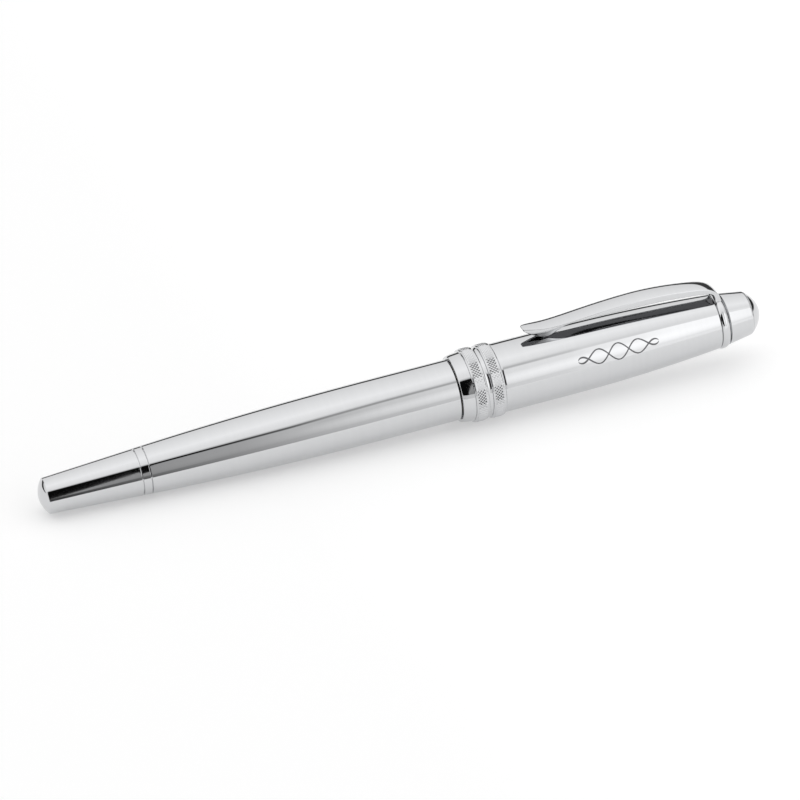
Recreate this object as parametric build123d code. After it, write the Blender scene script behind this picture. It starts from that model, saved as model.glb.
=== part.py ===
# Rollerball pen, capped: a turned metal barrel and cap with a spring clip,
# a screw-in grip section, a standard 110 mm refill and its push spring.
# Millimetres. X runs along the pen towards the top of the cap, X = 0 is the
# mouth of the barrel, the clip is on the +Z side.
from build123d import *
import math
import os

os.makedirs("parts", exist_ok=True)

# ---- driving dimensions (mm) ------------------------------------------
TAIL_END = -79.0            # tip of the tail
CAP_TOP = 61.0              # tip of the cap dome
BARREL_R = 5.75             # barrel radius at its mouth
BARREL_PARALLEL = 14.0      # length of the straight part behind the mouth
BARREL_DROP = 0.000625      # how the barrel narrows: r = R - DROP * d^2
TRIM_REAR, TRIM_FRONT = -60.75, -58.66
TAIL_RIM_X, TAIL_RIM_R = -77.65, 3.38
TAIL_CONE_R = 4.37          # tail cone radius at the trim ring
BUSH_R = 4.95               # bore of the barrel tube, seat of the thread bush
THREAD_R = 4.50             # bore of the thread bush
REFILL_R = 3.05
REFILL_REAR = -65.5
REFILL_SHOULDER = 29.85
TIP_X = 44.5                # front of the writing ball
BALL_R = 0.35
LIP_X = 0.15                # lip of the cap, a fine gap in front of the barrel
CAP_R = 6.54
CAP_PARALLEL_END = 22.0
CAP_DROP = 0.0015
RING_R = 6.97               # knurled rings
KNURL_EDGE = 0.40           # plain rounded shoulder at each side of the knurl
KNURL_FLATS = 32            # shallow flats round each knurled ring
CAP_END = 51.8              # end of the cap tube
CLIP_RING_END = 53.6
FINIAL_END = 58.5
CAP_BORE = 5.6
BUSH_SEAT_R = CAP_BORE - 0.85 * (47.5 - 30.0) / 21.8   # bore at the end bush
HINGE_X, HINGE_Z = 52.40, 5.75
CLIP_SHEET = 0.45
CLIP_HALF = 1.93            # half width of the clip at its root
RUN = 0.03                  # running clearance at the clip root


def barrel_radius(x):
    d = max(0.0, -BARREL_PARALLEL - x)
    return BARREL_R - BARREL_DROP * d * d


def cap_radius(x):
    d = max(0.0, x - CAP_PARALLEL_END)
    return CAP_R - CAP_DROP * d * d


def dome(x_rim, r_rim, x_tip):
    """Arc step (via, to) of a spherical end centred on the axis."""
    h = abs(x_tip - x_rim)
    radius = (r_rim ** 2 + h ** 2) / (2 * h)
    sign = 1 if x_tip > x_rim else -1
    via_r = r_rim * 0.53
    via_x = x_tip - sign * (radius - math.sqrt(radius ** 2 - via_r ** 2))
    return (via_x, via_r, x_tip, 0.0)


def turned(path):
    """Revolve a closed (x, r) outline about X; a 4-tuple is an arc (via, to)."""
    edges = []
    here = path[0]
    for step in path[1:] + [path[0]]:
        a = (here[0], 0, here[1])
        if len(step) == 2 and math.dist(here, step) < 1e-9:
            continue
        if len(step) == 4:
            edges.append(ThreePointArc(a, (step[0], 0, step[1]), (step[2], 0, step[3])))
            here = (step[2], step[3])
        else:
            edges.append(Line(a, (step[0], 0, step[1])))
            here = step
    return revolve(make_face(Wire(edges)), Axis.X, 360)


def save(node, shape):
    solids = shape.solids()
    assert len(solids) == 1, (node, len(solids))
    assert solids[0].is_valid, node
    solids[0].label = node
    export_step(solids[0], "parts/%s.step" % node)


# ---- barrel --------------------------------------------------------------
def barrel_tube():
    mid = (TRIM_FRONT - BARREL_PARALLEL) / 2
    return turned([
        (TRIM_FRONT, barrel_radius(TRIM_FRONT)),
        (mid, barrel_radius(mid), -BARREL_PARALLEL, BARREL_R),
        (0.0, BARREL_R), (0.0, BUSH_R), (-24.0, BUSH_R),
        (-50.0, 4.10), (-53.0, 3.90), (TRIM_FRONT, 3.90)])


def barrel_thread_bush():
    return turned([(-6.6, BUSH_R), (-0.6, BUSH_R), (-0.6, THREAD_R + 0.25),
                   (-0.85, THREAD_R), (-6.6, THREAD_R)])


def barrel_trim_ring():
    f = barrel_radius(TRIM_FRONT)
    r = TAIL_CONE_R
    return turned([(TRIM_REAR, 3.90), (TRIM_REAR, r), (-60.41, r + 0.02),
                   (-60.34, r - 0.06), (-60.27, r + 0.03),
                   (TRIM_FRONT - 0.05, f - 0.01), (TRIM_FRONT, f - 0.06),
                   (TRIM_FRONT, 3.90)])


def tail_plug():
    # the dome is drawn from its tip back to the rim
    via_x, via_r, _, _ = dome(TAIL_RIM_X, TAIL_RIM_R, TAIL_END)
    dome_back = (via_x, via_r, TAIL_RIM_X, TAIL_RIM_R)
    return turned([
        (TAIL_RIM_X, TAIL_RIM_R), (TRIM_REAR, TAIL_CONE_R), (TRIM_REAR, 3.90), (-53.0, 3.90),
        (-53.0, 3.20), (-71.5, 3.20), (-72.4, 0.0), (TAIL_END, 0.0),
        dome_back])


def refill_spring():
    wire, mean, start, end, turns = 0.20, 2.45, -71.25, -65.75, 5.0
    path = Helix(pitch=(end - start) / turns, height=end - start, radius=mean,
                 center=(start, 0, 0), direction=(1, 0, 0))
    return sweep(Plane(path @ 0, z_dir=path % 0) * Circle(wire), path=path, is_frenet=True)


# ---- refill --------------------------------------------------------------
def refill_tube():
    return turned([(-65.0, 2.80), (-65.0, REFILL_R), (18.0, REFILL_R), (18.0, 2.80)])


def refill_end_plug():
    return turned([(REFILL_REAR, 0.45), (REFILL_REAR, 2.90), (-65.0, REFILL_R),
                   (-65.0, 2.80), (-62.0, 2.80), (-62.0, 0.45)])


def ink_reservoir():
    return turned([(-61.8, 0.0), (-61.8, 2.78), (15.0, 2.78), (15.0, 0.65),
                   (9.0, 0.65), (9.0, 0.0)])


def refill_feed():
    return turned([(15.2, 0.65), (15.2, 2.80), (18.0, 2.80), (18.0, REFILL_R),
                   (REFILL_SHOULDER, REFILL_R), (REFILL_SHOULDER, 2.45),
                   (36.6, 2.45), (37.0, 2.05), (37.0, 1.20), (33.0, 1.20),
                   (33.0, 0.65)])


def feed_wick():
    return turned([(9.2, 0.0), (9.2, 0.60), (41.0, 0.60), (41.9, 0.0)])


def refill_tip():
    ball_x = TIP_X - BALL_R
    body = turned([(33.0, 0.65), (33.0, 1.20), (41.6, 1.20), (42.3, 0.80),
                   (ball_x + 0.12, 0.43), (ball_x + 0.12, 0.0), (42.3, 0.0),
                   (41.4, 0.65)])
    return body - Pos(ball_x, 0, 0) * Sphere(BALL_R + 0.03)


def writing_ball():
    return Pos(TIP_X - BALL_R, 0, 0) * Sphere(BALL_R)


# ---- grip section --------------------------------------------------------
def section_thread_sleeve():
    return turned([(-6.9, 3.20), (-6.9, 4.20), (-6.65, THREAD_R - 0.05),
                   (-0.3, THREAD_R - 0.05), (-0.3, 4.30), (6.0, 4.30), (6.0, 3.20)])


def section_collar():
    return turned([(0.02, 4.30), (0.02, 5.50), (1.0, 5.50), (1.1, 5.40), (1.1, 4.30)])


def grip_section():
    return turned([
        (1.1, 4.30), (1.1, 5.05), (2.95, 5.05), (2.95, 4.70), (4.25, 4.70),
        (4.25, 5.0), (18.0, 4.62, 30.5, 4.12), (33.5, 4.18, 36.0, 4.45),
        (36.0, 3.30), (33.0, 3.30), (33.0, 2.52), (REFILL_SHOULDER + 0.05, 2.52),
        (REFILL_SHOULDER + 0.05, 3.12), (6.0, 3.12), (6.0, 4.30)])


def section_snap_ring():
    return turned([(2.97, 4.70), (2.97, 4.95), (3.6, 5.22, 4.23, 4.95), (4.23, 4.70)])


def section_nose():
    return turned([(33.0, 2.52), (33.0, 3.30), (36.0, 3.30), (36.0, 4.30),
                   (36.35, 4.15), (41.2, 1.95), (41.5, 1.70), (41.5, 1.27),
                   (37.1, 1.27), (37.1, 2.52)])


# ---- cap -----------------------------------------------------------------
def cap_tube():
    mid = (CAP_PARALLEL_END + CAP_END) / 2
    return turned([
        (2.6, CAP_BORE), (2.6, 6.10), (8.5, 6.10), (8.5, 6.42), (8.75, CAP_R),
        (CAP_PARALLEL_END, CAP_R), (mid, cap_radius(mid), CAP_END - 0.15, cap_radius(CAP_END - 0.15)),
        (CAP_END, cap_radius(CAP_END) - 0.10), (CAP_END, 4.75), (30.0, CAP_BORE)])


def cap_lip_collar():
    return turned([(LIP_X, CAP_BORE), (LIP_X, 6.05), (LIP_X + 0.15, 6.20),
                   (0.85, 6.46, 1.7, 6.54), (2.6, 6.56), (2.6, CAP_BORE)])


def knurled_ring(x0, x1):
    ring = turned([(x0, 6.10), (x0, 6.66), (x0 + 0.12, 6.86, x0 + KNURL_EDGE, RING_R),
                   (x1 - KNURL_EDGE, RING_R), (x1 - 0.12, 6.86, x1, 6.66), (x1, 6.10)])
    # shallow flats stand for the knurl; one of them faces straight down
    flats = extrude(Plane.YZ.offset(x0) * RegularPolygon(
        RING_R, KNURL_FLATS, rotation=180 / KNURL_FLATS), x1 - x0)
    return ring & flats


def ring_spacer():
    return turned([(5.2, 6.10), (5.2, 6.60), (5.55, 6.56, 5.9, 6.60), (5.9, 6.10)])


def cap_snap_collar():
    return turned([(1.4, 5.45), (1.4, CAP_BORE), (8.8, CAP_BORE), (8.8, 5.40),
                   (2.9, 5.45), (2.6, 5.32), (1.8, 5.32)])


def inner_cap():
    return turned([(9.0, 5.05), (9.0, CAP_BORE), (30.0, CAP_BORE), (47.5, BUSH_SEAT_R),
                   (47.5, 1.55), (46.8, 1.55), (46.8, 3.30), (39.5, 4.30),
                   (35.0, 4.85)])


def cap_end_bush():
    return turned([(47.5, 1.55), (47.5, BUSH_SEAT_R), (CAP_END, 4.75), (CAP_END, 1.55)])


def cap_screw():
    body = turned([(45.8, 0.0), (45.8, 2.45), (46.1, 2.75), (46.8, 2.75),
                   (46.8, 1.50), (56.6, 1.50), (57.0, 1.10), (57.0, 0.0)])
    return body - Pos(45.95, 0, 0) * Box(0.7, 0.7, 7.0)


def clip_shape():
    """The clip as one pressed channel: crowned top, turned-down edges."""
    #      x     half   crown   edge   flange
    rows = [
        (14.60, 0.85, 9.12, 9.02, 8.78), (15.00, 1.15, 9.15, 9.02, 8.45),
        (16.20, 1.42, 9.06, 8.88, 7.60), (17.50, 1.62, 8.94, 8.70, 6.98),
        (18.60, 1.75, 8.88, 8.60, 6.62), (19.40, 1.80, 8.87, 8.57, 6.62),
        (20.60, 1.88, 8.90, 8.57, 7.25), (22.40, 1.95, 9.00, 8.64, 8.28),
        (25.00, 2.02, 9.22, 8.82, 8.45), (28.00, 2.06, 9.52, 9.10, 8.48),
        (32.40, 2.10, 9.83, 9.37, 8.34), (37.40, 2.10, 10.02, 9.55, 8.23),
        (42.40, 2.08, 9.75, 9.30, 8.02), (45.50, 2.04, 9.38, 8.95, 7.68),
        (48.00, 1.98, 9.00, 8.60, 7.42), (50.30, CLIP_HALF, 8.50, 8.12, 7.12)]
    wires = []
    for x, w, crown, edge, low in rows:
        t = min(CLIP_SHEET, w * 0.4)
        roof = max(low + 0.08, edge - 0.12)
        mid = edge + 0.72 * (crown - edge)
        pts = [(-w, low), (-w, edge), (-0.55 * w, mid), (0, crown), (0.55 * w, mid),
               (w, edge), (w, low), (w - t, low), (w - t, roof), (-(w - t), roof),
               (-(w - t), low)]
        wires.append(make_face(Wire(Polyline(*[(x, y, z) for y, z in pts], close=True).edges())))
    arm = loft(wires, ruled=True)
    side = make_face(Wire([
        Line((50.3, 0, 7.12), (50.3, 0, 8.12)),
        Line((50.3, 0, 8.12), (50.3, 0, 8.50)),
        ThreePointArc((50.3, 0, 8.50), (52.05, 0, 7.45), (53.15, 0, 5.55)),
        Line((53.15, 0, 5.55), (53.15, 0, 4.70)),
        Line((53.15, 0, 4.70), (51.95, 0, 4.70)),
        Line((51.95, 0, 4.70), (51.95, 0, 6.45)),
        ThreePointArc((51.95, 0, 6.45), (51.55, 0, 6.95), (50.3, 0, 7.12))]))
    root = extrude(side, CLIP_HALF, dir=(0, 1, 0), both=True)
    crown_cut = Plane.YZ.offset(49.0) * make_face(Polyline(
        (-CLIP_HALF, 3.0), (-CLIP_HALF, 8.12), (-1.06, 8.40), (0, 8.50), (1.06, 8.40),
        (CLIP_HALF, 8.12), (CLIP_HALF, 3.0), close=True))
    return arm, root & extrude(crown_cut, 6.0)


def wedge(side, angle):
    """What lies above the bending line on one side, down to that angle."""
    reach, height = 6.0, 8.0
    a = math.radians(angle)
    points = [(HINGE_X, HINGE_Z),
              (HINGE_X + side * reach * math.cos(a), HINGE_Z + reach * math.sin(a)),
              (HINGE_X + side * reach, HINGE_Z + height), (HINGE_X, HINGE_Z + height)]
    face = make_face(Polyline(*[(x, 0, z) for x, z in points], close=True))
    return extrude(face, 3.0, dir=(0, 1, 0), both=True)


def bend_cylinder(r):
    return Pos(HINGE_X, 0, HINGE_Z) * Rot(90, 0, 0) * Cylinder(r, 2 * CLIP_HALF)


def clip_arm():
    arm, root = clip_shape()
    top = root & (wedge(1, 24) + wedge(-1, 3))
    return (arm + top) - bend_cylinder(0.55 + RUN)


def clip_ring():
    ring = turned([(CAP_END + 0.06, 3.20), (CAP_END + 0.06, 5.10),
                   (CAP_END + 0.25, 5.28, CAP_END + 0.65, 5.36),
                   (53.1, 5.32, CLIP_RING_END - 0.10, 5.12),
                   (CLIP_RING_END, 4.98), (CLIP_RING_END, 3.20)])
    _, root = clip_shape()
    lower = Pos(HINGE_X, 0, HINGE_Z - 0.06 - 1.5) * Box(4.0, 6.0, 3.0)
    lug = (root & lower) + (bend_cylinder(0.55) & (Pos(52.55, 0, 6) * Box(1.2, 4, 4)))
    bore = Pos(52.5, 0, 0) * Rot(0, 90, 0) * Cylinder(3.9, 6.0)
    return ring + (lug - bore)


def finial_cone():
    return turned([(CAP_END + 0.06, 1.50), (CAP_END + 0.06, 3.20), (CLIP_RING_END, 3.20),
                   (CLIP_RING_END, 4.88), (CLIP_RING_END + 0.12, 4.96),
                   (58.25, 4.22), (58.42, 4.16, FINIAL_END, 4.02),
                   (FINIAL_END, 2.0), (57.2, 2.0), (57.2, 1.50)])


def finial_jewel():
    return turned([(57.2, 0.0), (57.2, 2.0), (FINIAL_END, 2.0), (FINIAL_END, 4.0),
                   (FINIAL_END + 0.12, 4.02), dome(FINIAL_END + 0.12, 4.02, CAP_TOP)])


for node, shape in {
    "barrel_tube": barrel_tube(),
    "barrel_thread_bush": barrel_thread_bush(),
    "barrel_trim_ring": barrel_trim_ring(),
    "tail_plug": tail_plug(),
    "refill_spring": refill_spring(),
    "refill_tube": refill_tube(),
    "refill_end_plug": refill_end_plug(),
    "ink_reservoir": ink_reservoir(),
    "refill_feed": refill_feed(),
    "feed_wick": feed_wick(),
    "refill_tip": refill_tip(),
    "writing_ball": writing_ball(),
    "section_thread_sleeve": section_thread_sleeve(),
    "section_collar": section_collar(),
    "grip_section": grip_section(),
    "section_snap_ring": section_snap_ring(),
    "section_nose": section_nose(),
    "cap_tube": cap_tube(),
    "cap_lip_collar": cap_lip_collar(),
    "knurled_ring_front": knurled_ring(2.6, 5.2),
    "ring_spacer": ring_spacer(),
    "knurled_ring_rear": knurled_ring(5.9, 8.5),
    "cap_snap_collar": cap_snap_collar(),
    "inner_cap": inner_cap(),
    "cap_end_bush": cap_end_bush(),
    "cap_screw": cap_screw(),
    "clip_ring": clip_ring(),
    "clip_arm": clip_arm(),
    "finial_cone": finial_cone(),
    "finial_jewel": finial_jewel(),
}.items():
    save(node, shape)
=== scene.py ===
import math

import bmesh
import bpy
from mathutils import Matrix, Vector


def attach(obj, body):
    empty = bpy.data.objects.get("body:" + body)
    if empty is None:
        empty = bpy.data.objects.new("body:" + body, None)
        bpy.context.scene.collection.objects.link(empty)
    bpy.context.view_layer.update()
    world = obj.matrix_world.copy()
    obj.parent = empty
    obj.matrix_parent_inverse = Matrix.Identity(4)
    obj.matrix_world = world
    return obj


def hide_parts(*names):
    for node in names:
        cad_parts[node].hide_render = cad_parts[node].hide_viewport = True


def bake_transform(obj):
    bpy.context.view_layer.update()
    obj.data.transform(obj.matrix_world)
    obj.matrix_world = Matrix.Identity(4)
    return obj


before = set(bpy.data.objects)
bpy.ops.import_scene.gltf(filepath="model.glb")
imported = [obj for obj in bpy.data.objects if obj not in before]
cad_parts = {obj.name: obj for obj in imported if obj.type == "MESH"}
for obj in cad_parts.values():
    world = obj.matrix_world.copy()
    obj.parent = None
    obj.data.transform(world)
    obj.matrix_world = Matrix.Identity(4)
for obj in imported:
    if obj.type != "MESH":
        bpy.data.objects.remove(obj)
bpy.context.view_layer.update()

# ---- barrel tube ---------------------------------------------------------
# A drawn brass tube, turned to a slow taper towards the tail, polished and
# chrome plated. Every turned piece of the pen is spun from its outline,
# given as (distance along the pen, radius) in millimetres.
MM = 0.001


def spun(name, outline, steps=192):
    """Spin an outline about the pen's axis. It closes itself, unless both ends lie on the axis."""
    bpy.ops.object.select_all(action="DESELECT")
    bpy.ops.mesh.primitive_plane_add(size=MM, location=(0, 0, 0))
    piece = bpy.context.object
    piece.name = piece.data.name = name
    bpy.ops.object.mode_set(mode="EDIT")
    bpy.ops.mesh.select_mode(type="VERT")
    bpy.ops.mesh.select_all(action="SELECT")
    bpy.ops.mesh.merge(type="CENTER")
    x, r = outline[0]
    bpy.ops.transform.translate(value=(x * MM, 0, r * MM))
    on_axis = outline[0][1] == 0 and outline[-1][1] == 0
    for to_x, to_r in outline[1:] + ([] if on_axis else outline[:1]):
        bpy.ops.mesh.extrude_vertices_move(
            TRANSFORM_OT_translate={"value": ((to_x - x) * MM, 0, (to_r - r) * MM)})
        x, r = to_x, to_r
    bpy.ops.mesh.select_all(action="SELECT")
    bpy.ops.mesh.remove_doubles(threshold=1e-6)
    bpy.ops.mesh.spin(steps=steps, angle=math.tau, center=(0, 0, 0), axis=(1, 0, 0))
    bpy.ops.mesh.select_all(action="SELECT")
    bpy.ops.mesh.remove_doubles(threshold=1e-6)
    bpy.ops.mesh.normals_make_consistent(inside=False)
    bpy.ops.object.mode_set(mode="OBJECT")
    return piece


def pick(core, *others):
    """Select these pieces and nothing else, the first of them active."""
    bpy.ops.object.select_all(action="DESELECT")
    for piece in (core, *others):
        piece.select_set(True)
    bpy.context.view_layer.objects.active = core


def apply(piece, kind, **settings):
    """Add one modifier, set it and apply it."""
    pick(piece)
    modifier = piece.modifiers.new(kind.title(), kind)
    for key, value in settings.items():
        setattr(modifier, key, value)
    bpy.ops.object.modifier_apply(modifier=modifier.name)


def turned(name, outline, edge=0.04, steps=192):
    """A spun piece with its corners broken, shaded so that broad faces stay true."""
    piece = spun(name, outline, steps)
    bpy.ops.object.shade_smooth()
    apply(piece, "BEVEL", width=edge * MM, segments=2, limit_method="ANGLE",
          angle_limit=math.radians(30), harden_normals=True)
    return piece


def fit(piece, body, slot, material, *nodes):
    """Give a piece its finish and its place in the assembly."""
    piece.data.materials.clear()
    piece.data.materials.append(material)
    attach(piece, body)
    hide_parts(*nodes)


def new_group(name, inputs, outputs):
    """An empty node group with named inputs (kind, value) and outputs."""
    group = bpy.data.node_groups.new(name, "ShaderNodeTree")
    for label, (kind, value) in inputs.items():
        socket = group.interface.new_socket(name=label, in_out="INPUT", socket_type=kind)
        if value is not None:
            socket.default_value = value
    for label in outputs:
        group.interface.new_socket(name=label, in_out="OUTPUT", socket_type="NodeSocketFloat")
    return group, group.nodes.new("NodeGroupInput"), group.nodes.new("NodeGroupOutput")


# fine lines that run round the axis, left by the lathe and the polishing mop
turning, given, out = new_group("turning_marks", {
    "Vector": ("NodeSocketVector", None), "Across": ("NodeSocketFloat", 9000.0),
    "Around": ("NodeSocketFloat", 120.0)}, ["Line", "Band"])
spread = turning.nodes.new("ShaderNodeCombineXYZ")
stretch = turning.nodes.new("ShaderNodeVectorMath")
stretch.operation = "MULTIPLY"
fine = turning.nodes.new("ShaderNodeTexNoise")
broad = turning.nodes.new("ShaderNodeTexNoise")
fine.inputs["Scale"].default_value, fine.inputs["Detail"].default_value = 1.0, 3.0
broad.inputs["Scale"].default_value, broad.inputs["Detail"].default_value = 0.09, 2.0
turning.links.new(given.outputs["Across"], spread.inputs["X"])
turning.links.new(given.outputs["Around"], spread.inputs["Y"])
turning.links.new(given.outputs["Around"], spread.inputs["Z"])
turning.links.new(given.outputs["Vector"], stretch.inputs[0])
turning.links.new(spread.outputs["Vector"], stretch.inputs[1])
for noise, label in ((fine, "Line"), (broad, "Band")):
    turning.links.new(stretch.outputs["Vector"], noise.inputs["Vector"])
    turning.links.new(noise.outputs["Fac"], out.inputs[label])

# the faint uneven film that handling leaves, and the small specks in it
handling, given, out = new_group("handling_film", {
    "Vector": ("NodeSocketVector", None), "Size": ("NodeSocketFloat", 140.0)}, ["Film", "Speck"])
for label, factor, low, high in (("Film", 1.0, 0.42, 0.72), ("Speck", 16.0, 0.66, 0.78)):
    scale = handling.nodes.new("ShaderNodeMath")
    scale.operation, scale.inputs[1].default_value = "MULTIPLY", factor
    noise = handling.nodes.new("ShaderNodeTexNoise")
    noise.inputs["Detail"].default_value = 4.0
    ramp = handling.nodes.new("ShaderNodeMapRange")
    ramp.inputs["From Min"].default_value, ramp.inputs["From Max"].default_value = low, high
    handling.links.new(given.outputs["Size"], scale.inputs[0])
    handling.links.new(scale.outputs["Value"], noise.inputs["Scale"])
    handling.links.new(given.outputs["Vector"], noise.inputs["Vector"])
    handling.links.new(noise.outputs["Fac"], ramp.inputs["Value"])
    handling.links.new(ramp.outputs["Result"], out.inputs[label])


def finish(name, colour, shade, metallic, rough, film, marks, depth, across=9000.0, **fixed):
    """A finish: colour falling to shade in its bands, roughness raised by film and marks."""
    material = bpy.data.materials.new(name)
    material.use_nodes = True
    nodes, links = material.node_tree.nodes, material.node_tree.links
    shader = nodes["Principled BSDF"]
    shader.inputs["Metallic"].default_value = metallic
    for label, value in fixed.items():
        shader.inputs[label.replace("_", " ")].default_value = value
    place = nodes.new("ShaderNodeTexCoord")
    lathe = nodes.new("ShaderNodeGroup")
    lathe.node_tree = turning
    lathe.inputs["Across"].default_value = across
    hand = nodes.new("ShaderNodeGroup")
    hand.node_tree = handling
    tone = nodes.new("ShaderNodeMix")
    tone.data_type = "RGBA"
    tone.inputs["A"].default_value = (*shade, 1)
    tone.inputs["B"].default_value = (*colour, 1)
    for group in (lathe, hand):
        links.new(place.outputs["Object"], group.inputs["Vector"])
    links.new(lathe.outputs["Band"], tone.inputs["Factor"])
    links.new(tone.outputs["Result"], shader.inputs["Base Color"])
    total = None
    for source, amount in ((hand.outputs["Film"], film), (hand.outputs["Speck"], film * 0.6),
                           (lathe.outputs["Line"], marks)):
        step = nodes.new("ShaderNodeMath")
        step.operation = "MULTIPLY_ADD"
        step.inputs[1].default_value = amount
        step.inputs[2].default_value = rough
        links.new(source, step.inputs[0])
        if total:
            links.new(total.outputs["Value"], step.inputs[2])
        total = step
    links.new(total.outputs["Value"], shader.inputs["Roughness"])
    bump = nodes.new("ShaderNodeBump")
    bump.inputs["Strength"].default_value = depth
    bump.inputs["Distance"].default_value = 0.00001
    links.new(lathe.outputs["Line"], bump.inputs["Height"])
    links.new(bump.outputs["Normal"], shader.inputs["Normal"])
    return material


chrome = finish("polished_chrome", (0.645, 0.65, 0.66), (0.615, 0.62, 0.63), 1.0,
                0.02, 0.024, 0.012, 0.010)
BARREL_R, BARREL_PARALLEL, BARREL_TAPER = 5.75, -14.0, 0.000625
TRIM_FRONT = -58.66


def stations(start, end, count):
    """Places from start to end, count equal steps apart."""
    return [start + (end - start) * i / count for i in range(count + 1)]


def barrel_radius(x):
    """Parallel in front, then a taper that steepens towards the tail."""
    back = max(0.0, BARREL_PARALLEL - x)
    return BARREL_R - BARREL_TAPER * back * back


fit(turned("barrel_shell", [
    (x, barrel_radius(x)) for x in stations(TRIM_FRONT, BARREL_PARALLEL, 26)] + [
    (-9.0, BARREL_R), (0.0, BARREL_R), (0.0, 4.95), (-24.0, 4.95), (-50.0, 4.10), (-53.0, 3.90),
    (TRIM_FRONT, 3.90)]), "barrel", "chrome", chrome, "barrel_tube")

# ---- thread bush ---------------------------------------------------------
# A turned brass bush pressed into the mouth of the barrel. It carries the
# female thread, 0.75 mm pitch, that the writing section screws into.
brass = finish("turned_brass", (0.80, 0.62, 0.30), (0.62, 0.46, 0.20), 1.0,
               0.16, 0.12, 0.18, 0.35, across=14000.0)


def close_ends(piece):
    """Merge the doubles of a wound piece and close its two open ends."""
    pick(piece)
    bpy.ops.object.mode_set(mode="EDIT")
    bpy.ops.mesh.select_mode(type="VERT")
    bpy.ops.mesh.select_all(action="SELECT")
    bpy.ops.mesh.remove_doubles(threshold=1e-6)
    bpy.ops.mesh.select_all(action="DESELECT")
    bpy.ops.mesh.select_non_manifold()
    bpy.ops.mesh.fill_holes(sides=0)
    bpy.ops.mesh.select_all(action="SELECT")
    bpy.ops.mesh.normals_make_consistent(inside=False)
    bpy.ops.object.mode_set(mode="OBJECT")


def coil(name, corners, size, x, radius, pitch, turns, steps=48):
    """A wire or a thread ridge wound round the axis, its first turn starting at x."""
    bpy.ops.object.select_all(action="DESELECT")
    bpy.ops.mesh.primitive_circle_add(vertices=corners, radius=size * MM,
                                      location=(x * MM, 0, radius * MM),
                                      rotation=(math.pi / 2, 0, 0))
    piece = bpy.context.object
    piece.name = piece.data.name = name
    bpy.ops.object.transform_apply(location=True, rotation=True, scale=True)
    apply(piece, "SCREW", axis="X", angle=math.tau, screw_offset=pitch * MM,
          iterations=turns, steps=steps, render_steps=steps, use_smooth_shade=True)
    close_ends(piece)
    return piece


def join(core, *others):
    pick(core, *others)
    bpy.ops.object.join()
    return core


bush = turned("mouth_bush", [(-6.6, 4.75), (-6.6, 4.95), (-0.6, 4.95), (-0.6, 4.82), (-0.8, 4.75)])
female = coil("female_thread", 4, 0.30, -6.10, 4.75, 0.75, 6)
bpy.ops.object.shade_smooth_by_angle(angle=math.radians(30))
fit(join(bush, female), "barrel", "brass", brass, "barrel_thread_bush")

# ---- trim ring and tail plug ---------------------------------------------
# A narrow ring with a fine groove at each side parts the barrel from the tail.
# The tail is one turned cone with a low domed end, pushed into the barrel.


def bow(start, via, end, count=10):
    """Points of the arc from start through via to end, without the start."""
    (ax, ar), (bx, br), (cx, cr) = start, via, end
    d = 2 * (ax * (br - cr) + bx * (cr - ar) + cx * (ar - br))
    a2, b2, c2 = ax * ax + ar * ar, bx * bx + br * br, cx * cx + cr * cr
    ux = (a2 * (br - cr) + b2 * (cr - ar) + c2 * (ar - br)) / d
    ur = (a2 * (cx - bx) + b2 * (ax - cx) + c2 * (bx - ax)) / d
    radius = math.hypot(ax - ux, ar - ur)
    first = math.atan2(ar - ur, ax - ux)
    middle = (math.atan2(br - ur, bx - ux) - first) % math.tau
    sweep = (math.atan2(cr - ur, cx - ux) - first) % math.tau
    if middle > sweep:
        sweep -= math.tau
    return [(ux + radius * math.cos(first + sweep * i / count),
             ur + radius * math.sin(first + sweep * i / count)) for i in range(1, count + 1)]


fit(turned("tail_trim_ring", [
    (-60.75, 3.90), (-60.75, 4.37), (-60.50, 4.385), (-60.48, 4.02), (-60.27, 4.02),
    (-60.25, 4.40), (-58.89, 4.486), (-58.87, 4.02), (TRIM_FRONT, 4.02), (TRIM_FRONT, 3.90)],
    edge=0.02), "barrel", "chrome", chrome, "barrel_trim_ring")
fit(turned("tail_cone", [
    (-72.4, 0.0), (-71.5, 3.20), (-53.0, 3.20), (-53.0, 3.90), (-60.75, 3.90),
    (-60.75, 4.31), (-60.69, 4.367), (-77.65, 3.38)]
    + bow((-77.65, 3.38), (-78.62, 1.79), (-79.0, 0.0), 14)[:-1] + [(-79.0, 0.0)]),
    "barrel", "chrome", chrome, "tail_plug")

# ---- push spring ---------------------------------------------------------
# Five turns of drawn spring wire between the tail plug and the refill. It
# holds the refill forward, so in the pen it lengthens as the section is
# unscrewed; here it is built at one length.
spring_steel = finish("drawn_spring_wire", (0.52, 0.52, 0.54), (0.40, 0.40, 0.42), 1.0,
                      0.24, 0.10, 0.08, 0.15)
spring = coil("push_spring", 12, 0.20, -71.25, 2.45, 1.10, 5, steps=40)
spring.data.materials.append(spring_steel)
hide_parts("refill_spring")
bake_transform(spring)

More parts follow.
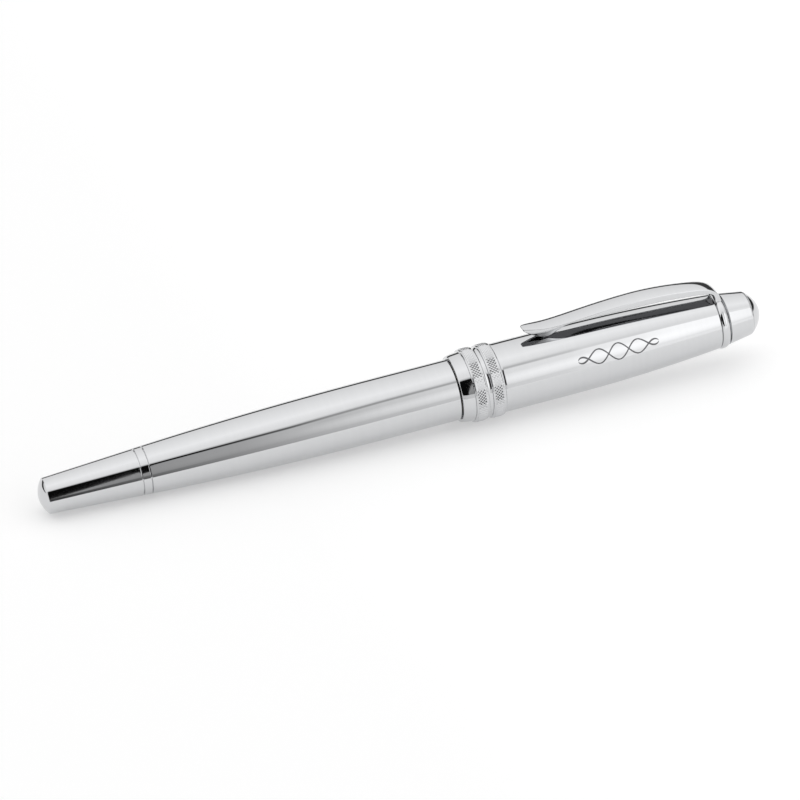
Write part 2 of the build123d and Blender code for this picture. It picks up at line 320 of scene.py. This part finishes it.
# ---- refill --------------------------------------------------------------
# A standard rollerball refill: a thin metal tube with a moulded end plug, a
# fibre ink store, a moulded black feed and a steel tip with a carbide ball.
refill_metal = finish("satin_refill_metal", (0.62, 0.62, 0.61), (0.50, 0.50, 0.49), 1.0,
                      0.22, 0.10, 0.10, 0.20)
refill_plastic = finish("black_moulded_plastic", (0.034, 0.034, 0.038), (0.024, 0.024, 0.028),
                        0.0, 0.30, 0.16, 0.05, 0.20)
ink_fibre = finish("inky_fibre", (0.022, 0.022, 0.055), (0.012, 0.012, 0.034), 0.0,
                   0.85, 0.10, 0.10, 0.8, across=300.0)
carbide = finish("ground_carbide", (0.32, 0.32, 0.34), (0.26, 0.26, 0.28), 1.0,
                 0.28, 0.06, 0.10, 0.30)
fit(turned("refill_barrel", [
    (-65.0, 2.80), (-65.0, 3.05), (-60.3, 3.05), (-60.15, 2.98), (-59.85, 2.98), (-59.7, 3.05),
    (16.4, 3.05), (16.55, 2.98), (16.85, 2.98), (17.0, 3.05), (18.0, 3.05), (18.0, 2.80)]),
    "refill", "refill_metal", refill_metal, "refill_tube")
fit(turned("refill_end_stopper", [
    (-65.5, 0.45), (-65.5, 2.84), (-65.4, 2.95), (-65.02, 3.03), (-65.0, 2.80), (-62.0, 2.80),
    (-62.0, 0.45)]), "refill", "refill_plastic", refill_plastic, "refill_end_plug")
fit(turned("feed_body", [
    (15.2, 0.65), (15.2, 2.80), (18.0, 2.80), (18.02, 3.05)]
    + [(x + dx, r) for x in (20.0, 21.2, 22.4, 23.6) for dx, r in
       ((0.0, 3.05), (0.1, 2.85), (0.5, 2.85), (0.6, 3.05))]
    + [(29.85, 3.05), (29.85, 2.45), (36.6, 2.45), (37.0, 2.05), (37.0, 1.20), (33.0, 1.20),
       (33.0, 0.65)]), "refill", "refill_plastic", refill_plastic, "refill_feed")
fit(turned("tip_holder", [
    (33.0, 0.65), (33.0, 1.20), (41.6, 1.20), (42.3, 0.80), (43.2, 0.67), (44.2, 0.46),
    (44.27, 0.40), (44.0, 0.37), (43.85, 0.20), (42.3, 0.12), (41.4, 0.65)],
    edge=0.03, steps=96), "refill", "refill_metal", refill_metal, "refill_tip")
fit(turned("carbide_ball", [(43.80, 0.0)]
           + bow((43.80, 0.0), (44.15, 0.35), (44.50, 0.0), 24)[:-1] + [(44.50, 0.0)],
           edge=0.001, steps=48), "ball", "carbide", carbide, "writing_ball")
for node in ("ink_reservoir", "feed_wick"):
    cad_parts[node].material_slots[0].material = ink_fibre

# ---- writing section -----------------------------------------------------
# A brass sleeve with the male thread, a plated collar, a glossy black grip
# moulded over it, a steel snap ring sprung into its groove and a plated nose.
black_resin = finish("gloss_black_resin", (0.014, 0.014, 0.016), (0.010, 0.010, 0.012), 0.0,
                     0.10, 0.12, 0.03, 0.03, Coat_Weight=0.6, Coat_Roughness=0.05)
snap_steel = finish("plated_snap_steel", (0.57, 0.58, 0.60), (0.48, 0.49, 0.51), 1.0,
                    0.14, 0.08, 0.10, 0.20)
sleeve = turned("threaded_sleeve", [
    (-6.9, 3.20), (-6.9, 4.16), (-6.7, 4.36), (-0.45, 4.36), (-0.3, 4.20), (0.0, 4.20),
    (0.0, 4.30), (6.0, 4.30), (6.0, 3.20)])
male = coil("male_thread", 4, 0.30, -6.475, 4.36, 0.75, 7)
bpy.ops.object.shade_smooth_by_angle(angle=math.radians(30))
fit(join(sleeve, male), "section", "brass", brass, "section_thread_sleeve")
fit(turned("section_band", [
    (0.03, 4.30), (0.03, 4.60), (0.28, 5.50), (1.0, 5.50), (1.1, 5.40), (1.1, 4.30)]),
    "section", "chrome", chrome, "section_collar")
fit(turned("black_grip", [
    (1.1, 4.30), (1.1, 5.05), (2.95, 5.05), (2.95, 4.70), (4.25, 4.70), (4.25, 5.0)]
    + bow((4.25, 5.0), (18.0, 4.62), (30.5, 4.12), 24)
    + bow((30.5, 4.12), (33.5, 4.18), (36.0, 4.45), 8)
    + [(36.0, 3.30), (33.0, 3.30), (33.0, 2.52), (29.9, 2.52), (29.9, 3.12), (6.0, 3.12),
       (6.0, 4.30)]), "section", "black_resin", black_resin, "grip_section")
fit(turned("cap_snap_ring", [(2.97, 4.70), (2.97, 4.95)]
           + bow((2.97, 4.95), (3.6, 5.22), (4.23, 4.95), 8) + [(4.23, 4.70)], edge=0.03),
    "section", "snap_steel", snap_steel, "section_snap_ring")
fit(turned("plated_nose", [
    (33.0, 2.52), (33.0, 3.30), (36.0, 3.30), (36.0, 4.30), (36.35, 4.15), (41.2, 1.95),
    (41.5, 1.70), (41.5, 1.27), (37.1, 1.27), (37.1, 2.52)], edge=0.06),
    "section", "chrome", chrome, "section_nose")

# ---- cap tube and its liner ----------------------------------------------
# The cap is a plated tube that narrows in a slow curve to its end, with a
# flared lip. A moulded snap collar and an inner cap are pushed up inside.
liner_plastic = finish("natural_moulded_plastic", (0.64, 0.64, 0.62), (0.56, 0.56, 0.54), 0.0,
                       0.38, 0.12, 0.06, 0.25)


def compute(tree, operation, *values):
    """One math node. Its inputs are numbers or the outputs of other nodes."""
    node = tree.nodes.new("ShaderNodeMath")
    node.operation = operation
    for i, value in enumerate(values):
        if isinstance(value, (int, float)):
            node.inputs[i].default_value = value
        else:
            tree.links.new(value, node.inputs[i])
    return node.outputs["Value"]


def coordinates(tree, kind="Object"):
    """The X, Y and Z outputs of one kind of texture coordinate."""
    apart = tree.nodes.new("ShaderNodeSeparateXYZ")
    tree.links.new(tree.nodes.new("ShaderNodeTexCoord").outputs[kind], apart.inputs["Vector"])
    return apart.outputs


def darkened_chrome(name, dark):
    """A copy of the chrome that can fall to a dark colour, and the factor that says where."""
    material = chrome.copy()
    material.name = name
    tree = material.node_tree
    mix = tree.nodes.new("ShaderNodeMix")
    mix.data_type = "RGBA"
    mix.inputs["B"].default_value = (*dark, 1)
    paint = tree.nodes["Principled BSDF"].inputs["Base Color"]
    tree.links.new(paint.links[0].from_socket, mix.inputs["A"])
    tree.links.new(mix.outputs["Result"], paint)
    return material, mix.inputs["Factor"]


CAP_R, CAP_PARALLEL, CAP_CURVE_END, CAP_TAPER = 6.54, 22.0, 51.65, 0.0015


def cap_radius(x):
    """Parallel at the lip's end, then a curve that steepens towards the finial."""
    up = max(0.0, x - CAP_PARALLEL)
    return CAP_R - CAP_TAPER * up * up


# A plain twist of two mirrored waves is engraved along the front of the cap.
# It swells in the middle and closes at both ends.
TWIST_X, TWIST_ANGLE, TWIST_RADIUS = 31.0, math.radians(67), 6.5
TWIST_HALF_LENGTH, TWIST_HEIGHT, WAVE_LENGTH = 8.0, 1.55, 8.0
LINE_HALF_WIDTH, LINE_WIDENING = 0.11, 0.09     # a steep line measures wider across


def twist(tree):
    """1 on the lines of the twist, 0 elsewhere: u is along the pen and v round it, in mm."""
    to_x, to_y, to_z = coordinates(tree)
    u = compute(tree, "MULTIPLY_ADD", to_x, 1 / MM, -TWIST_X)
    v = compute(tree, "MULTIPLY_ADD", compute(
        tree, "ARCTAN2", compute(tree, "MULTIPLY", to_y, -1.0), to_z), TWIST_RADIUS,
        -TWIST_RADIUS * TWIST_ANGLE)
    taper = compute(tree, "DIVIDE", u, TWIST_HALF_LENGTH)
    swell = compute(tree, "SQRT", compute(tree, "MAXIMUM", compute(
        tree, "SUBTRACT", 1.0, compute(tree, "POWER", taper, 2.0)), 0.0))
    phase = compute(tree, "MULTIPLY", u, math.tau / WAVE_LENGTH)
    wave = compute(tree, "MULTIPLY", compute(tree, "ABSOLUTE", compute(tree, "COSINE", phase)),
                   compute(tree, "MULTIPLY", swell, TWIST_HEIGHT))
    away = compute(tree, "ABSOLUTE", compute(
        tree, "SUBTRACT", compute(tree, "ABSOLUTE", v), wave))
    width = compute(tree, "MULTIPLY_ADD", compute(
        tree, "ABSOLUTE", compute(tree, "SINE", phase)), LINE_WIDENING, LINE_HALF_WIDTH)
    return compute(tree, "MULTIPLY", compute(tree, "LESS_THAN", away, width),
                   compute(tree, "GREATER_THAN", swell, 0.05))


engraved, strokes = darkened_chrome("engraved_chrome", (0.11, 0.11, 0.115))
engraved.node_tree.links.new(twist(engraved.node_tree), strokes)
LIP_FRONT, LIP_END = 0.26, 2.6
fit(turned("cap_shell", [
    (LIP_END, 5.6), (LIP_END, 6.10), (8.5, 6.10), (8.5, 6.42), (8.68, 6.52), (8.85, CAP_R),
    (8.95, CAP_R), (15.0, CAP_R)]
    + [(x, cap_radius(x)) for x in stations(CAP_PARALLEL, CAP_CURVE_END, 24)]
    + [(51.8, 5.09), (51.8, 4.75), (30.0, 5.6)]), "cap", "chrome", engraved, "cap_tube")


def lip_radius(x):
    """Wide where the lip meets the knurled ring, falling faster towards the mouth."""
    u = LIP_END - x
    return 6.558 - 0.094 * u - 0.0029 * u ** 3 - 0.12 * max(0.0, u - 1.3) ** 2


fit(turned("flared_lip", [(LIP_FRONT, 5.6), (LIP_FRONT, 6.08)]
           + [(x, lip_radius(x)) for x in stations(LIP_FRONT + 0.1, LIP_END, 16)]
           + [(LIP_END, 5.6)]), "cap", "chrome", chrome, "cap_lip_collar")
fit(turned("snap_liner", [
    (1.4, 5.45), (1.4, 5.6), (8.8, 5.6), (8.8, 5.40), (2.9, 5.45), (2.6, 5.32), (1.8, 5.32)],
    edge=0.03), "cap", "liner_plastic", liner_plastic, "cap_snap_collar")
fit(turned("inner_liner", [
    (9.0, 5.05), (9.0, 5.6), (30.0, 5.6), (47.5, 4.918), (47.5, 1.55), (46.8, 1.55),
    (46.8, 3.30), (39.5, 4.30), (35.0, 4.85)]), "cap", "liner_plastic", liner_plastic, "inner_cap")

# ---- knurled rings -------------------------------------------------------
# Two turned rings with a fine diamond knurl between plain rounded shoulders,
# pressed on over the cap with a plain spacer between them, and plated.
KNURLS, ROWS, VALLEY, CREST = 76, 6, 6.85, 6.968
FRONT_RING, REAR_RING, RING_WIDTH, SHOULDER = LIP_END, 5.9, 2.6, 0.375


def knurled(name, x0):
    """Half of the grid's vertices are drawn out, so each becomes a small pyramid."""
    side = [(0.0, 6.62), (0.04, 6.74), (0.11, 6.84), (0.22, 6.90), (0.30, 6.905)]
    x1 = x0 + RING_WIDTH
    first, last = x0 + SHOULDER, x1 - SHOULDER
    ring = spun(name, [(x0, 6.10)] + [(x0 + dx, r) for dx, r in side]
                + [(x, VALLEY) for x in stations(first, last, ROWS)]
                + [(x1 - dx, r) for dx, r in reversed(side)] + [(x1, 6.10)], 2 * KNURLS)

    def chosen(v, crest):
        """Valley vertices, which are joined across the grid, or crests, which are drawn out."""
        row = round((v.co.x / MM - first) / (last - first) * ROWS)
        column = round(math.atan2(v.co.y, v.co.z) / math.tau * 2 * KNURLS)
        in_band = abs(math.hypot(v.co.y, v.co.z) / MM - VALLEY) < 0.004
        if not in_band or (crest and row in (0, ROWS)):
            return False
        return (row + column) % 2 == (0 if crest else 1)

    bpy.ops.object.mode_set(mode="EDIT")
    bpy.ops.mesh.select_mode(type="VERT")
    for crest in (False, True):
        mesh = bmesh.from_edit_mesh(ring.data)
        picked = [v for v in mesh.verts if chosen(v, crest)]
        for v in mesh.verts:
            v.select_set(False)
        for v in picked:
            v.select_set(True)
        bmesh.update_edit_mesh(ring.data)
        if crest:
            growth = CREST / VALLEY
            bpy.ops.transform.resize(value=(1, growth, growth), center_override=(0, 0, 0))
        else:
            bpy.ops.mesh.vert_connect()
    bpy.ops.object.mode_set(mode="OBJECT")
    bpy.ops.object.shade_smooth_by_angle(angle=math.radians(14))
    return ring


front_ring = knurled("front_knurl_ring", FRONT_RING)
fit(front_ring, "cap", "chrome", chrome, "knurled_ring_front")
fit(turned("plain_spacer", [(5.2, 6.10), (5.2, 6.62)]
           + bow((5.2, 6.62), (5.55, 6.56), (5.9, 6.62), 8) + [(5.9, 6.10)], edge=0.02),
    "cap", "chrome", chrome, "ring_spacer")
rear_ring = bpy.data.objects.new("rear_knurl_ring", front_ring.data.copy())
rear_ring.data.name = rear_ring.name
bpy.context.scene.collection.objects.link(rear_ring)
pick(rear_ring)
bpy.ops.transform.translate(value=((REAR_RING - FRONT_RING) * MM, 0, 0))
bpy.ops.object.transform_apply(location=True)
fit(rear_ring, "cap", "chrome", chrome, "knurled_ring_rear")

# ---- clip ----------------------------------------------------------------
# Spring sheet pressed to a bowed, crowned channel, with a turned-up tip and a
# heel that rests on the cap. Its root is brazed to a ring held by the finial.
# Its underside and its tail end are painted dark in its colour: painted shade.
fit(turned("clip_root_ring", [(51.86, 3.20), (51.86, 5.08)]
           + bow((51.86, 5.08), (52.02, 5.27), (52.42, 5.36), 8)
           + bow((52.42, 5.36), (52.95, 5.33), (53.28, 5.18), 8)
           + [(53.37, 5.02), (53.38, 3.9), (53.6, 3.9), (53.6, 3.20)], edge=0.03),
    "cap", "chrome", chrome, "clip_ring")
CLIP = [  # crown x, crown z, fall to the edge, flange x, flange z, half width
    (14.60, 9.10, .08, 14.60, 8.85, .70), (14.80, 9.13, .12, 14.75, 8.60, 1.02),
    (15.4, 9.13, .16, 15.4, 8.15, 1.22), (16.2, 9.06, .18, 16.2, 7.60, 1.42),
    (17.5, 8.94, .24, 17.5, 6.98, 1.62), (18.6, 8.88, .28, 18.6, 6.60, 1.75),
    (19.2, 8.87, .30, 19.2, 6.55, 1.80), (19.9, 8.88, .32, 19.9, 6.80, 1.84),
    (20.8, 8.90, .33, 20.8, 7.35, 1.88), (22.4, 9.00, .36, 22.4, 8.22, 1.95),
    (23.5, 9.08, .38, 23.5, 8.42, 2.00), (26.0, 9.32, .41, 26.0, 8.48, 2.04),
    (30.0, 9.68, .44, 30.0, 8.42, 2.08), (35.0, 9.95, .47, 35.0, 8.27, 2.10),
    (38.5, 10.0, .47, 38.5, 8.20, 2.10), (42.4, 9.75, .45, 42.4, 8.02, 2.08),
    (45.5, 9.38, .43, 45.5, 7.70, 2.04), (48.5, 8.93, .40, 48.5, 7.38, 1.98),
    (50.3, 8.50, .38, 50.2, 7.12, 1.93), (51.5, 8.00, .36, 51.2, 6.90, 1.92),
    (52.35, 7.30, .34, 51.75, 6.45, 1.92), (52.9, 6.40, .30, 51.95, 5.80, 1.92),
    (53.15, 5.55, .25, 51.95, 5.15, 1.92), (53.2, 5.00, .20, 51.95, 4.80, 1.92)]
COLUMNS, HEEL_X, SHEET = 7, 19.0, 0.42
bpy.ops.object.select_all(action="DESELECT")
bpy.ops.mesh.primitive_grid_add(x_subdivisions=len(CLIP) - 1, y_subdivisions=COLUMNS - 1,
                                size=1, location=(0.5, 0.5, 0))
clip = bpy.context.object
clip.name = clip.data.name = "pocket_clip"
bpy.ops.object.transform_apply(location=True, rotation=True, scale=True)
bpy.ops.object.mode_set(mode="EDIT")
bpy.ops.mesh.select_mode(type="VERT")
mesh = bmesh.from_edit_mesh(clip.data)
blank = {(round(v.co.x * (len(CLIP) - 1)), round(v.co.y * (COLUMNS - 1))): v for v in mesh.verts}
for station, (x, z, fall, flange_x, flange_z, half) in enumerate(CLIP):
    heel = max(0.0, 1 - abs(x - HEEL_X) / 4.0)    # the flanges lean inwards at the heel
    corner_z = z - fall
    depth = corner_z - flange_z
    lean = half * (0.98 - 0.30 * heel)
    section = [
        (flange_x, lean, flange_z),
        (x + 0.45 * (flange_x - x), half * (1 - 0.08 * heel), corner_z - 0.5 * depth),
        (x + 0.12 * (flange_x - x), half, corner_z - min(0.14, 0.35 * depth)),
        (x, half * 0.985, corner_z), (x, half * 0.91, corner_z + 0.16 * fall),
        (x, half * 0.55, z - 0.28 * fall), (x, 0.0, z)]
    for column, (to_x, to_y, to_z) in enumerate(section):
        v = blank[station, column]
        for other in mesh.verts:
            if other.select:
                other.select_set(False)
        v.select_set(True)
        bmesh.update_edit_mesh(clip.data, loop_triangles=False, destructive=False)
        bpy.ops.transform.translate(value=(to_x * MM - v.co.x, to_y * MM - v.co.y,
                                           to_z * MM - v.co.z))
bpy.ops.mesh.select_all(action="SELECT")
bpy.ops.mesh.normals_make_consistent(inside=False)
bpy.ops.object.mode_set(mode="OBJECT")
crown = max(clip.data.polygons, key=lambda face: face.center.z)
if crown.normal.z < 0:
    clip.data.flip_normals()
apply(clip, "MIRROR", use_axis=(False, True, False), use_clip=True, merge_threshold=1e-5)
apply(clip, "SOLIDIFY", thickness=SHEET * MM, offset=-1.0, use_even_offset=True,
      edge_crease_rim=0.55, edge_crease_outer=0.35)
apply(clip, "SUBSURF", levels=2, render_levels=2)
bpy.ops.object.shade_smooth()


def unit(tree, value):
    """The value, kept between 0 and 1."""
    return compute(tree, "MINIMUM", compute(tree, "MAXIMUM", value, 0.0), 1.0)


# painted shade: dark on faces that point down or to the tail, fading out as they turn away from
# that
painted_shade_clip_chrome, inside = darkened_chrome("clip_chrome_painted_shade", (0.16, 0.16, 0.165))
tree = painted_shade_clip_chrome.node_tree
to_x, _, to_z = coordinates(tree, "Normal")
upright = unit(tree, compute(tree, "MULTIPLY_ADD", compute(
    tree, "MINIMUM", to_x, to_z), 5.0, 3.6))
tree.links.new(compute(tree, "SUBTRACT", 1.0, upright), inside)
clip.data.materials.append(painted_shade_clip_chrome)
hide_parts("clip_arm")
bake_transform(clip)

# ---- end of the cap ------------------------------------------------------
# A brass bush and a slotted screw inside hold the clip ring and the finial:
# a short plated cone, with a low polished dome set in its end.
fit(turned("finial_body", [
    (51.86, 1.50), (51.86, 3.20), (53.6, 3.20), (53.6, 3.9), (53.71, 4.0), (53.74, 4.94),
    (53.84, 4.931), (58.08, 4.249), (58.2, 4.23), (58.36, 4.19), (58.46, 4.11), (58.5, 4.02),
    (58.5, 2.0), (57.2, 2.0), (57.2, 1.50)], edge=0.03), "cap", "chrome", chrome, "finial_cone")
fit(turned("finial_dome", [(57.2, 0.0), (57.2, 2.0), (58.5, 2.0), (58.5, 3.96), (58.60, 4.02)]
           + bow((58.60, 4.02), (60.30, 2.13), (61.0, 0.0), 20)[:-1] + [(61.0, 0.0)],
           edge=0.02), "cap", "chrome", chrome, "finial_jewel")
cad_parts["cap_end_bush"].material_slots[0].material = brass
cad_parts["cap_screw"].material_slots[0].material = spring_steel

# ---- table ---------------------------------------------------------------
# A plain white table. Its glow is painted light: an emission that lifts its
# shadows, a little more from the lip towards the cap's end. It is pitched
# so that the pen rests as it would: on the front knurled ring and on the barrel.
REST_X, REST_Z, PITCH = 3.0 * MM, -6.97 * MM, math.radians(2.16)


def tones(tree, value, low, high, stops):
    """Brightness along a value, from stops of (place, brightness up to 2)."""
    ramp = tree.nodes.new("ShaderNodeValToRGB")
    elements = ramp.color_ramp.elements
    while len(elements) < len(stops):
        elements.new(0.5)
    for element, (place, level) in zip(elements, stops):
        element.position = (place - low) / (high - low)
        element.color = (level / 2,) * 3 + (1,)
    scaled = compute(tree, "DIVIDE", compute(tree, "SUBTRACT", value, low), high - low)
    tree.links.new(scaled, ramp.inputs["Fac"])
    return compute(tree, "MULTIPLY", ramp.outputs["Color"], 2.0)


bpy.ops.object.select_all(action="DESELECT")
bpy.ops.mesh.primitive_plane_add(size=8, location=(REST_X, 0, REST_Z), rotation=(0, PITCH, 0))
table = bpy.context.object
table.name = "table"
white = bpy.data.materials.new("matt_white_painted_glow")
white.use_nodes = True
tree = white.node_tree
paint = tree.nodes["Principled BSDF"]
paint.inputs["Base Color"].default_value = (0.68, 0.68, 0.68, 1)
paint.inputs["Roughness"].default_value = 0.9
paint.inputs["Specular IOR Level"].default_value = 0.0
# painted light: the table glows, more from the lip towards the cap's end, to lift its shadows
paint.inputs["Emission Color"].default_value = (1, 1, 1, 1)
tree.links.new(tones(tree, coordinates(tree)["X"], -0.2, 0.2, [
    (-0.2, 0.33), (-0.04, 0.335), (0.0, 0.37), (0.05, 0.41), (0.2, 0.41)]),
    paint.inputs["Emission Strength"])
table.data.materials.append(white)

# ---- studio --------------------------------------------------------------
# A tent lit evenly. The axis of the pen is X: around it, the top is a broad
# soft light, a black gap parts it from the front wall, and the front wall is
# dark at the tail's end and bright towards the cap's. The far end is greyer.
world = bpy.data.worlds.new("studio")
bpy.context.scene.world = world
world.use_nodes = True
tree = world.node_tree


def mixed(tree, factor, a, b):
    """a where factor is 0, b where it is 1."""
    return compute(tree, "ADD",
                   compute(tree, "MULTIPLY", compute(tree, "SUBTRACT", 1.0, factor), a),
                   compute(tree, "MULTIPLY", factor, b))


to_x, to_y, to_z = coordinates(tree, "Generated")
degrees = math.degrees(1)
around = compute(tree, "MULTIPLY", compute(
    tree, "ARCTAN2", to_z, compute(tree, "MULTIPLY", to_y, -1.0)), degrees)
along = compute(tree, "MULTIPLY", compute(tree, "ARCSINE", to_x), degrees)
top_light = tones(tree, around, 0, 180, [
    (0, 1.1), (50, 1.10), (62, 1.11), (86, 1.28), (110, 1.17), (130, 1.10), (150, 1.02),
    (180, 0.9)])
# a dark strip low at the back, which rises towards the far end
strip_rise = compute(tree, "MINIMUM", 42.0, compute(tree, "MAXIMUM", 0.0, compute(
    tree, "MULTIPLY_ADD", along, 1.6, -35.0)))
back_strip = unit(tree, compute(tree, "DIVIDE", compute(
    tree, "SUBTRACT", around, compute(tree, "SUBTRACT", 164.0, strip_rise)), 3.0))
front_wall = tones(tree, along, -10, 35, [
    (-10, 0.004), (-4, 0.015), (0, 0.08), (2.05, 0.10), (2.35, 0.46), (3, 0.40), (5, 0.47),
    (7, 0.52), (9, 0.685), (10.5, 0.85), (13, 1.07), (14.5, 1.35), (16.5, 1.50), (23, 1.58),
    (35, 1.45)])
# black cloth hangs over the wall at the tail's end, cut on a slant
black_cloth = unit(tree, compute(tree, "DIVIDE", compute(
    tree, "SUBTRACT", around, compute(tree, "MULTIPLY_ADD", along, 25.2, -49.0)), 1.4))
# the gap between the wall and the top light, which fades and rises towards the cap
gap = tones(tree, along, 0, 35, [
    (0, 0.004), (5, 0.004), (7, 0.06), (9, 0.16), (10.5, 0.42), (13, 0.50), (14.5, 0.70),
    (16, 1.0), (20, 1.0), (25, 1.1), (32, 1.2)])
# the wall is a little darker at its foot, and at its top towards the cap
low_wall = tones(tree, around, 0, 180, [
    (0, 0.77), (4, 0.85), (8.6, 0.92), (16, 0.98), (22, 1.0), (180, 1.0)])
fade = compute(tree, "MULTIPLY", tones(tree, around, 0, 180, [
    (0, 0), (21, 0), (31, 0.5), (37, 1), (180, 1)]), tones(tree, along, 0, 35, [
        (0, 0), (9, 0), (10.5, 0.18), (16, 0.16), (20, 0.12), (24, 0.04), (30, 0)]))
low_wall = compute(tree, "MULTIPLY", low_wall, compute(tree, "SUBTRACT", 1.0, fade))
lifted = compute(tree, "SUBTRACT", around, compute(tree, "MULTIPLY", tones(tree, along, 0, 35, [
    (0, 0), (9, 0), (10.5, 0.3), (13, 0.7), (14.5, 0.8), (16, 0.85), (30, 0.85)]), 10.0))
in_gap = tones(tree, lifted, 0, 180, [
    (0, 0), (42, 0), (44.5, 1), (49, 1), (52, 0.35), (57, 0), (180, 0)])
above = tones(tree, lifted, 0, 180, [(0, 0), (46, 0), (48, 1), (180, 1)])
upper = mixed(tree, back_strip, top_light, 0.06)
lower = mixed(tree, black_cloth, compute(tree, "MULTIPLY", front_wall, low_wall), 0.004)
light = mixed(tree, in_gap, mixed(tree, above, lower, upper), gap)
far_end = tones(tree, along, -10, 90, [(-10, 1.0), (42, 1.0), (58, 0.66), (90, 0.48)])
light = compute(tree, "MULTIPLY", light, far_end)
tree.links.new(light, tree.nodes["Background"].inputs["Color"])
tree.nodes["Background"].inputs["Strength"].default_value = 1.0
bpy.context.scene.view_settings.view_transform = "Standard"

# ---- front card ----------------------------------------------------------
# A low grey card stands on the table just in front of the pen, out of the
# camera's sight. Only the polished metal sees it, as the foot of the wall.
CARD_LENGTH, CARD_HEIGHT, CARD_TURN = 600.0, 13.5, -0.235
CARD_MIDDLE = (-30.0, -34.0, -5.25)
bpy.ops.object.select_all(action="DESELECT")
bpy.ops.mesh.primitive_plane_add(size=1, location=(0, 0, 0))
card = bpy.context.object
card.name = "front_card"
card.scale = (CARD_LENGTH * MM, CARD_HEIGHT * MM, 1)
card.rotation_euler = (math.pi / 2, 0, CARD_TURN)
card.location = Vector(CARD_MIDDLE) * MM
grey = bpy.data.materials.new("grey_card")
grey.use_nodes = True
tree = grey.node_tree
tree.nodes.remove(tree.nodes["Principled BSDF"])
glow = tree.nodes.new("ShaderNodeEmission")
tree.links.new(glow.outputs["Emission"], tree.nodes["Material Output"].inputs["Surface"])
to_x, to_y, _ = coordinates(tree)
length = compute(tree, "MULTIPLY_ADD", to_x, CARD_LENGTH, CARD_MIDDLE[0])
height = unit(tree, compute(tree, "MULTIPLY_ADD", to_y, 3.0, -0.1))
# greyer towards the tail, and most of all in the card's lower half
foot = tones(tree, length, -100, 100, [
    (-100, 0.5), (-76, 0.6), (-61, 0.7), (-52, 0.8), (-42, 0.9), (-9, 0.95), (20, 1.0),
    (100, 1.0)])
tree.links.new(compute(tree, "MULTIPLY", tones(tree, length, -100, 100, [
    (-100, 0.05), (-76, 0.08), (-70, 0.12), (-61, 0.18), (-52, 0.27), (-42, 0.36),
    (-31, 0.50), (-20, 0.65), (-9, 0.74), (0, 0.78), (12, 0.87), (20, 0.93), (33, 1.01),
    (42, 1.15), (50, 1.22), (100, 1.25)]),
    mixed(tree, height, foot, 1.0)), glow.inputs["Strength"])
card.data.materials.append(grey)
card.visible_camera = card.visible_diffuse = card.visible_shadow = False

# ---- camera --------------------------------------------------------------
# From in front and 31 degrees above, turned 13 degrees towards the tail and
# rolled 14.65 degrees. It looks at a point near the middle of the pen.
camera = bpy.data.objects.new("camera", bpy.data.cameras.new("camera"))
bpy.context.scene.collection.objects.link(camera)
camera.data.lens, camera.data.sensor_width = 208.7, 36
rise, turn, roll = math.radians(31), math.radians(13), math.radians(14.65)
DISTANCE, AIM_X, AIM_UP = 850, -9.83, 0.57
back = Vector((-math.sin(turn), -math.cos(rise) * math.cos(turn), math.sin(rise) * math.cos(turn)))
side = Vector((math.cos(turn), -math.sin(turn) * math.cos(rise), math.sin(turn) * math.sin(rise)))
over = Vector((0, math.sin(rise), math.cos(rise)))
right = math.cos(roll) * side - math.sin(roll) * over
up = math.sin(roll) * side + math.cos(roll) * over
camera.matrix_world = Matrix.Translation(
    (Vector((AIM_X, 0, 0)) + AIM_UP * over + DISTANCE * back) * MM) @ Matrix(
    (right, up, back)).transposed().to_4x4()
bpy.context.scene.camera = camera
